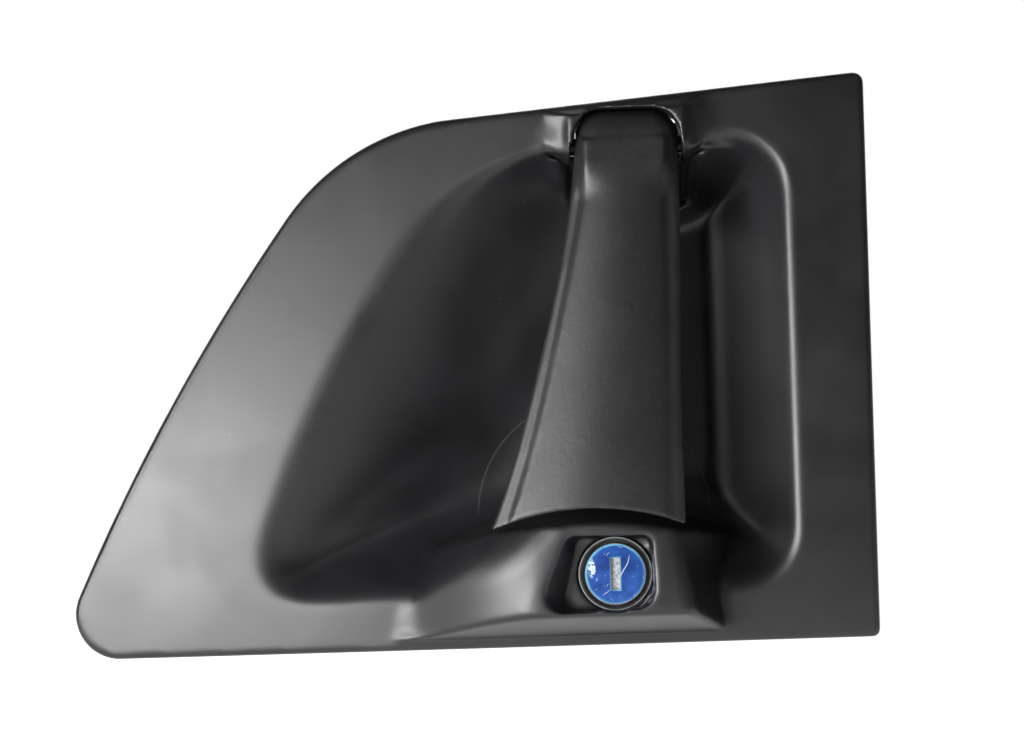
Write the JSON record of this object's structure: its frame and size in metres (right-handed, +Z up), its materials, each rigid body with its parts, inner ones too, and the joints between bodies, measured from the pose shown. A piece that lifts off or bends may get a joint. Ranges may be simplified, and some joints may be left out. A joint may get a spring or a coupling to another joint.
{
  "type": "truck door handle",
  "caption": "Recessed outside door handle for a truck cab: a pull grip hinged at the top in a moulded bowl with a key lock in a pod below it.",
  "frame": {"origin": "centre of the pattern of four threaded inserts, in the plane where the rim meets the door", "axes": "+Z up the door, +X to the right as one faces the door, -Y outwards from the door"},
  "size_m": [0.2934, 0.096, 0.2057],
  "materials": {
    "black_moulding": "fine moulded grain",
    "black_grip": "leather-like moulded grain",
    "black_cover": "fine moulded grain",
    "gasket_rubber": "closed-cell seal",
    "brass_inserts": "turned and knurled",
    "die_cast_zinc": "as cast",
    "steel_pin": "ground and black oxidised",
    "zinc_plated": "bright zinc plating",
    "spring_steel": "phosphated spring wire",
    "pale_nylon": "moulded nylon",
    "black_acetal": "moulded acetal",
    "green_nylon": "moulded nylon clip",
    "buffer_rubber": "moulded rubber",
    "plug_brass": "machined",
    "chrome_cap": "chromed sheet steel",
    "blue_film": "clear blue protective film, scratched"
  },
  "bodies": {
    "housing": {"housing": "black_moulding", "perimeter_gasket": "gasket_rubber", "threaded_inserts": "brass_inserts", "hinge_pin": "steel_pin", "mechanism_bracket": "zinc_plated", "bracket_screws": "zinc_plated", "stop_buffer": "buffer_rubber", "lever_pivot_pin": "steel_pin", "lever_pivot_clip": "spring_steel", "lever_return_spring": "spring_steel", "lock_barrel": "die_cast_zinc", "lock_seal": "gasket_rubber", "lock_retaining_clip": "spring_steel"},
    "grip": {"grip_shell": "black_grip", "grip_back_cover": "black_cover", "hinge_casting": "die_cast_zinc", "contact_shoe": "pale_nylon", "hinge_bushes": "black_acetal", "casting_screws": "zinc_plated", "cover_screws": "zinc_plated"},
    "release_lever": {"release_lever": "zinc_plated", "lever_bush": "pale_nylon", "rod_clip": "green_nylon"},
    "lock_plug": {"lock_plug": "plug_brass", "lock_wafers": "plug_brass", "lock_face_cap": "chrome_cap", "protective_film": "blue_film", "tail_lever": "zinc_plated", "tail_circlip": "spring_steel"},
    "key_shutter": {"key_shutter": "spring_steel"}
  },
  "joints": [
    {"name": "handle_pull", "type": "hinge", "parent": "housing", "child": "grip", "pos_m": [0.0085, -0.0085, 0.095], "axis": [-1, 0, 0], "range_deg": [0, 18], "stiffness_Nm_per_rad": 0.5, "springref_deg": -20.05},
    {"name": "release_turn", "type": "hinge", "parent": "housing", "child": "release_lever", "pos_m": [0, 0.049, 0.095], "axis": [1, 0, 0], "range_deg": [0, 22.5], "deforming": ["lever_return_spring"]},
    {"name": "lock_turn", "type": "hinge", "parent": "housing", "child": "lock_plug", "pos_m": [-0.0011, 0, -0.0601], "axis": [0, 1, 0], "range_deg": [-60, 60]},
    {"name": "shutter_swing", "type": "hinge", "parent": "lock_plug", "child": "key_shutter", "pos_m": [-0.00285, -0.02975, -0.0601], "axis": [0, 0, 1], "range_deg": [0, 80], "stiffness_Nm_per_rad": 0.0004, "springref_deg": -17.19}
  ],
  "couplings": [
    {"joint": "release_turn", "follows": "handle_pull", "ratio": 1.25}
  ]
}
